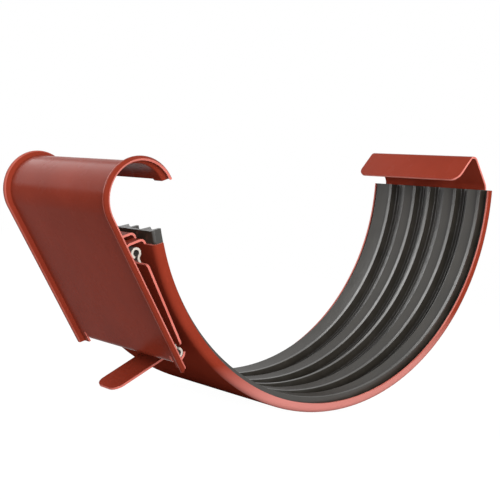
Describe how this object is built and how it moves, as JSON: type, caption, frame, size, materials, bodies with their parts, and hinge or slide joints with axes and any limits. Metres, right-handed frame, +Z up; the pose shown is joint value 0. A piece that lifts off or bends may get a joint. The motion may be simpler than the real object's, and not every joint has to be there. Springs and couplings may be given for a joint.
{
  "type": "gutter union",
  "caption": "Half-round gutter union: steel band with ribbed rubber seal, rear clip and a toggle-lever front cover that hooks over the gutter's bead.",
  "frame": {"origin": "on the axis of the half-round gutter, midway along the band's width", "axes": "+Y along the gutter, +Z up, -X towards the front with the lever and hook; the union lies on a level floor on its round back and the tip of its tongue, tilted 11.0 degrees forward about Y from the installed attitude"},
  "size_m": [0.1434, 0.0532, 0.0827],
  "materials": {
    "coated_steel": "red-brown coil coating on both faces, semi-gloss",
    "seal_rubber": "matt black EPDM, extruded ribs",
    "galvanised_steel": "bare hot-dip galvanised sheet"
  },
  "bodies": {
    "clamp_band": {"band": "coated_steel", "seal": "seal_rubber"},
    "toggle_lever": {"lever_plate": "coated_steel", "hinge_link": "galvanised_steel"},
    "front_cover": {"cover": "coated_steel"}
  },
  "joints": [
    {"name": "lever_hinge", "type": "hinge", "parent": "clamp_band", "child": "toggle_lever", "pos_m": [-0.06258, 0, -0.02907], "axis": [0, 1, 0], "range_deg": [0, 60]},
    {"name": "cover_hinge", "type": "hinge", "parent": "toggle_lever", "child": "front_cover", "pos_m": [-0.04504, 0, -0.05269], "axis": [0, 1, 0], "range_deg": [-60, 0]}
  ],
  "couplings": [
    {"joint": "cover_hinge", "follows": "lever_hinge", "ratio": -1}
  ]
}
